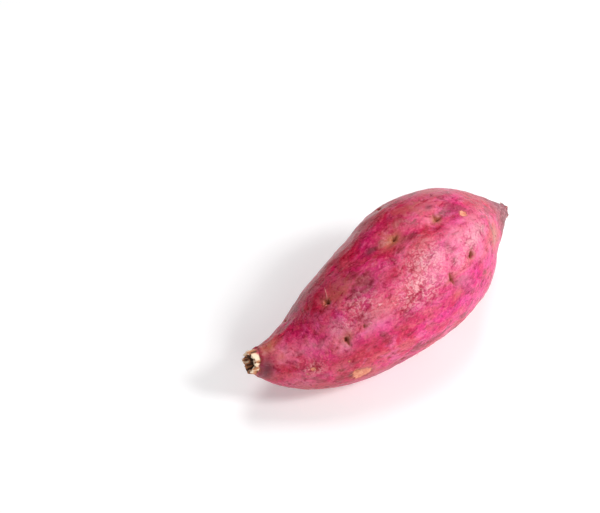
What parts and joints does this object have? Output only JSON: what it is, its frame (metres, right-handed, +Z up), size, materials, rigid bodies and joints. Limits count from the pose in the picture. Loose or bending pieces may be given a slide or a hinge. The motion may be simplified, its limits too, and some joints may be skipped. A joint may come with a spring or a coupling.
{
  "type": "sweet potato",
  "caption": "Whole raw sweet potato with magenta-red skin: thick in the middle, tapering to a trimmed woody neck at one end and a torn tail at the other.",
  "frame": {"origin": "middle of the bounding box's bottom face, on the surface that the root lies on", "axes": "+X along the root, from the trimmed stem end to the tail; +Y across it; +Z up"},
  "size_m": [0.1532, 0.0662, 0.0645],
  "materials": {
    "skin": "thin satin root skin, magenta-red with crimson blotches, pale flecks and tan scars"
  },
  "bodies": {
    "root": {"sweet_potato": "skin"}
  },
  "joints": []
}
